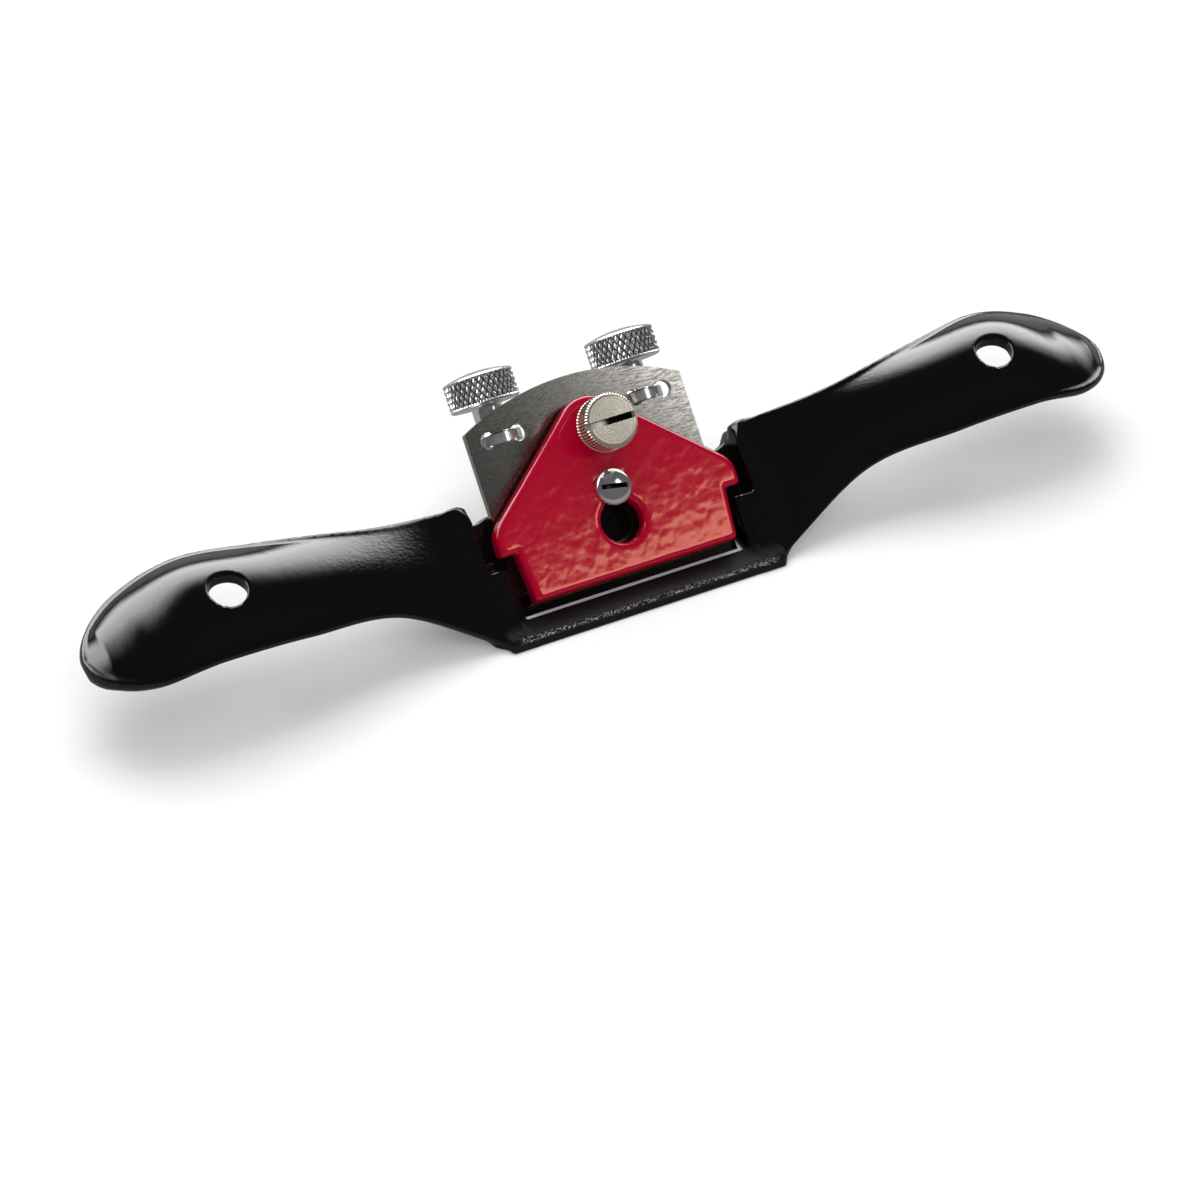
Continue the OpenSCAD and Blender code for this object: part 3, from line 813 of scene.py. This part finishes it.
def thread(angle, radius, height):
    """Helical groove: the radius dips once in every pitch along the stud, turning with the angle."""
    phase = (height / PITCH - angle / (2 * math.pi)) % 1
    fade = ramp(STUD_HIGH - height, 0.2, 1.2)
    return radius - THREAD_DEPTH * (1 - np.abs(2 * phase - 1)) * fade * (radius > STUD_R - 0.3)


stud_profile = spaced([(0, STUD_LOW), (STUD_R, STUD_LOW), (STUD_R, STUD_HIGH - 0.5),
                       (STUD_R - 0.4, STUD_HIGH), (0, STUD_HIGH)], 0.1)
screw_steel, *_ = finish("screw_steel", (0.6, 0.6, 0.61), 1.0, 0.22)
for side, hand in ((-1, "left"), (1, "right")):
    points, faces = turned(stud_profile, 48, ((side * NUT_X, NUT_T), False), thread)
    close_poles(piece("stud_" + hand, points, faces, "frame", "adjuster_stud_" + hand,
                      screw_steel, 50))

# ---------------------------------------------------------------------------------------------------
# The thumb screw is turned brass with a pale plate: a straight-knurled head with a turned, slotted
# face on a plain shank that bears on the iron.
THUMB_S, THUMB_LOW, THUMB_HIGH, THUMB_R, THUMB_SHANK = 35.4, 13.6, 19.8, 6.3, 2.4
THUMB_TEETH, THUMB_CUT = 56, 0.3
THUMB_SLOT, THUMB_SLOT_DEEP, SAW_R, SAW_CORNERS = 1.5, 2.2, 22.0, 180


def ridge_depth(angle, radius, height):
    """How deep the straight knurl is: 0 on a ridge, 1 between two, and 0 away from the rim."""
    ridge = np.abs((angle * THUMB_TEETH / (2 * math.pi)) % 1 - 0.5) * 2
    band = (radius > THUMB_R - 0.5) * ramp(height, THUMB_LOW + 0.3, THUMB_LOW + 0.6)
    return ridge * band * (1 - ramp(height, THUMB_HIGH - 0.35, THUMB_HIGH - 0.1))


def straight(angle, radius, height):
    """Straight knurl: ridges along the rim, between its two chamfers."""
    return radius - THUMB_CUT * ridge_depth(angle, radius, height)


def slot_mask(material, lathe, high, radius, fade):
    """Where shade is painted on a slotted screw: all below the head's face and inside a radius, which is
    the slot and also the shank. Over a fade width the painted shade is darker towards +x."""
    bands = [(lathe.outputs["Height"], high - 0.5, high - 0.12, 1, 0),
             (lathe.outputs["Away"], radius - 0.4, radius - 0.1, 1, 0)]
    if fade:
        bands.append((lathe.outputs["Across"], -fade, 0, 0.4, 1))
    return mask(material.node_tree, *bands)


def slotted(obj, centre, width, deepest, saw_radius, turn):
    """Saws a screwdriver slot with a round slitting saw, so its floor is an arc that is deepest in the
    middle. The saw's disc is taken away from the head and then deleted."""
    angle = np.arange(SAW_CORNERS) * 2 * math.pi / SAW_CORNERS
    run, rise = saw_radius * np.cos(angle), deepest + saw_radius + saw_radius * np.sin(angle)
    c, s = math.cos(turn), math.sin(turn)
    walls = [np.stack([run * c - w * s, centre + run * s + w * c, rise], 1)
             for w in (-width / 2, width / 2)]
    saw = bpy.data.meshes.new("saw")
    n = SAW_CORNERS
    rim = [(i, (i + 1) % n, n + (i + 1) % n, n + i) for i in range(n)]
    faces = rim + [tuple(range(n - 1, -1, -1)), tuple(range(n, 2 * n))]
    saw.from_pydata((from_bed(np.vstack(walls)) * MM).tolist(), [], faces)
    solid = bmesh.new()
    solid.from_mesh(saw)
    bmesh.ops.recalc_face_normals(solid, faces=solid.faces)
    solid.to_mesh(saw)
    solid.free()
    cutter = bpy.data.objects.new("saw", saw)
    bpy.context.scene.collection.objects.link(cutter)
    cut = obj.modifiers.new("slot", "BOOLEAN")
    cut.object, cut.solver, cut.operation = cutter, "EXACT", "DIFFERENCE"
    done = bpy.data.meshes.new_from_object(obj.evaluated_get(bpy.context.evaluated_depsgraph_get()))
    obj.modifiers.clear()
    obj.data = done
    bpy.data.objects.remove(cutter)


THUMB_PROFILE = [
    (0, 0.12), (THUMB_SHANK - 0.4, 0.12), (THUMB_SHANK, 0.5), (THUMB_SHANK, THUMB_LOW - 1.6),
    (4.4, THUMB_LOW - 1.6), (4.4, THUMB_LOW), (THUMB_R - 0.3, THUMB_LOW), (THUMB_R, THUMB_LOW + 0.3),
    (THUMB_R, THUMB_HIGH - 0.55), (THUMB_R - 0.45, THUMB_HIGH - 0.1), (THUMB_R - 0.9, THUMB_HIGH),
    (0, THUMB_HIGH)]
thumb_axis = from_bed(np.array([0, THUMB_S, 0])) * MM
THUMB_COLUMNS = 448
BRASS, SLOT_SHADE = (0.8, 0.74, 0.63), (0.006, 0.006, 0.006)
FACE_TURN = (-math.pi / 4, 0, 0)
pale_brass, lathe = turned_metal("pale_brass", BRASS, 0.27, thumb_axis, FACE_TURN, 2600.0, 0.02)
thumb_profile = spaced(THUMB_PROFILE, 0.3)
points, faces = turned(thumb_profile, THUMB_COLUMNS, ((0, THUMB_S), True), straight)
thumb = piece("thumb_screw_turned", points, faces, "thumb", "thumb_screw", pale_brass)
# Painted shade in the straight knurl's grooves.
shade_grooves(thumb, thumb_profile, THUMB_COLUMNS, ridge_depth)
close_poles(thumb)
# Painted shade inside the slot and on the shank, darker towards +x.
slot = slot_mask(pale_brass, lathe, THUMB_HIGH, THUMB_R - 0.6, 2.0)
paint_shade(pale_brass, SLOT_SHADE, 0.35, 0.9, 0.95, slot)
slotted(thumb, THUMB_S, THUMB_SLOT, THUMB_HIGH - THUMB_SLOT_DEEP, SAW_R, 0.0)
thumb.data.set_sharp_from_angle(angle=math.radians(32))
lit_by_side.objects.link(thumb)

# ---------------------------------------------------------------------------------------------------
# The cap screw is bright steel with a slotted oval head. It goes through the cap's keyhole and the
# iron into the bed, and stays there while the cap slides up and lifts off over it.
CAP_SCREW_R, CAP_HEAD_R, CAP_HEAD_LOW, CAP_HEAD_RISE = 2.0, 4.2, 7.36, 2.4
CAP_SLOT, CAP_SAW_R, CAP_SLOT_TURN = 1.1, 14.0, math.radians(-10)
CAP_SCREW_PROFILE = [(0, BED_BACK), (CAP_SCREW_R, BED_BACK), (CAP_SCREW_R, CAP_HEAD_LOW),
                     (CAP_HEAD_R - 0.15, CAP_HEAD_LOW), (CAP_HEAD_R, CAP_HEAD_LOW + 0.2)]
CAP_SCREW_DOME = [(CAP_HEAD_R * math.cos(a), CAP_HEAD_LOW + 0.6 + (CAP_HEAD_RISE - 0.6) * math.sin(a))
                  for a in np.linspace(0, math.pi / 2, 24)]
cap_axis = from_bed(np.array([0, CAP_SCREW_S, 0])) * MM
STEEL, CAP_COLUMNS, CAP_SLOT_DEEP = (0.68, 0.68, 0.69), 96, 1.5
polished, lathe = turned_metal("polished_steel", STEEL, 0.12, cap_axis, FACE_TURN, 2600.0, 0.006)
profile = np.vstack([spaced(CAP_SCREW_PROFILE, 0.5), CAP_SCREW_DOME])
points, faces = turned(profile, CAP_COLUMNS, ((0, CAP_SCREW_S), True))
cap_screw = piece("cap_screw_head", points, faces, "frame", "lever_cap_screw",
                  polished)
close_poles(cap_screw)
CAP_HEAD_HIGH = CAP_HEAD_LOW + CAP_HEAD_RISE
# Painted shade inside the slot and on the shank.
slot = slot_mask(polished, lathe, CAP_HEAD_HIGH - 0.35, CAP_HEAD_R - 0.9, 0.0)
paint_shade(polished, SLOT_SHADE, 0.35, 0.9, 0.95, slot)
slotted(cap_screw, CAP_SCREW_S, CAP_SLOT, CAP_HEAD_HIGH - CAP_SLOT_DEEP, CAP_SAW_R, CAP_SLOT_TURN)
cap_screw.data.set_sharp_from_angle(angle=math.radians(35))
lit_by_side.objects.link(cap_screw)
